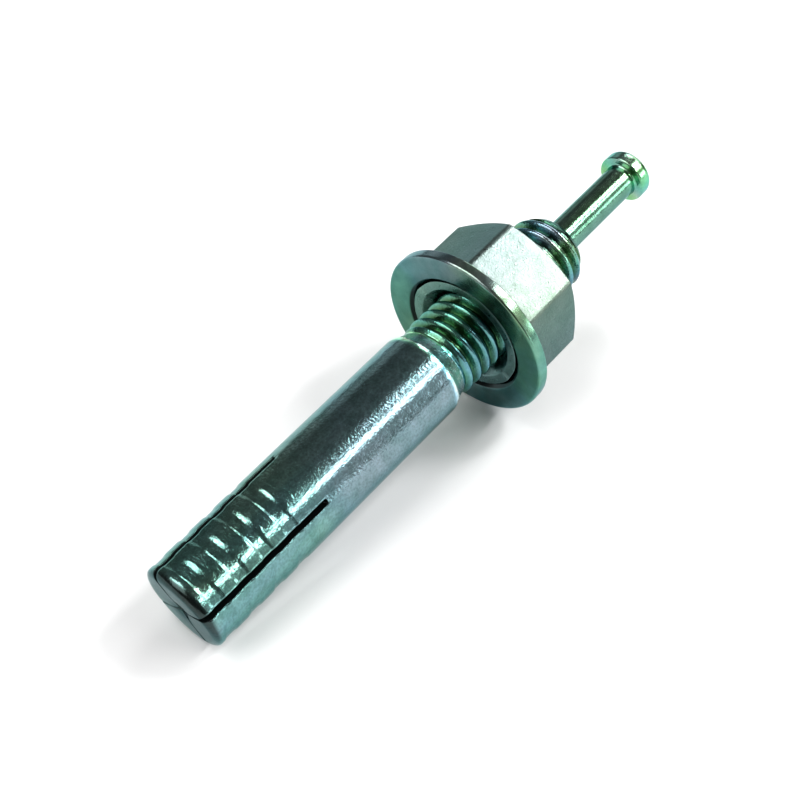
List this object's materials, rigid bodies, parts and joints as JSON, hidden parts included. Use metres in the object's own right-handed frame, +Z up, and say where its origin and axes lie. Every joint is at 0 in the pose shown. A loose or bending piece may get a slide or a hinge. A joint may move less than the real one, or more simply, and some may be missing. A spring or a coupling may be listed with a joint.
{
  "type": "hammer drive anchor",
  "caption": "Hammer drive anchor for concrete: a threaded stud with split expansion legs, a drive pin, a captive washer and a hexagon nut.",
  "frame": {"origin": "bottom centre of the bounding box, on the floor the anchor lies on", "axes": "+Z up, +X along the floor towards the pin's head. The anchor's own axis lies in the XZ plane and rises 7.1 degrees towards the head, because the anchor rests on the washer's rim and the rounded slit end"},
  "size_m": [0.0632, 0.0174, 0.0174],
  "materials": {
    "body_zinc": "satin blue-green zinc plating",
    "pin_zinc": "satin blue-green zinc plating",
    "washer_zinc": "smooth satin grey-teal zinc plating",
    "nut_zinc": "fine-grained satin zinc plating"
  },
  "bodies": {
    "anchor": {"anchor_body": "body_zinc"},
    "pin": {"drive_pin": "pin_zinc"},
    "washer": {"captive_washer": "washer_zinc"},
    "nut": {"hex_nut": "nut_zinc"}
  },
  "joints": [
    {"name": "pin_drive", "type": "slide", "parent": "anchor", "child": "pin", "axis": [-0.9923, 0, -0.1235], "range_m": [0, 0.0109]},
    {"name": "nut_travel", "type": "slide", "parent": "anchor", "child": "washer", "axis": [0.9923, 0, 0.1235], "range_m": [-0.0046, 0.0055]},
    {"name": "nut_turn", "type": "hinge", "parent": "washer", "child": "nut", "pos_m": [0.01006, 0, 0.00921], "axis": [0.9923, 0, 0.1235], "range_deg": [-1296, 1560]}
  ],
  "couplings": [
    {"joint": "nut_travel", "follows": "nut_turn", "m_per_rad": 0.00019894}
  ]
}
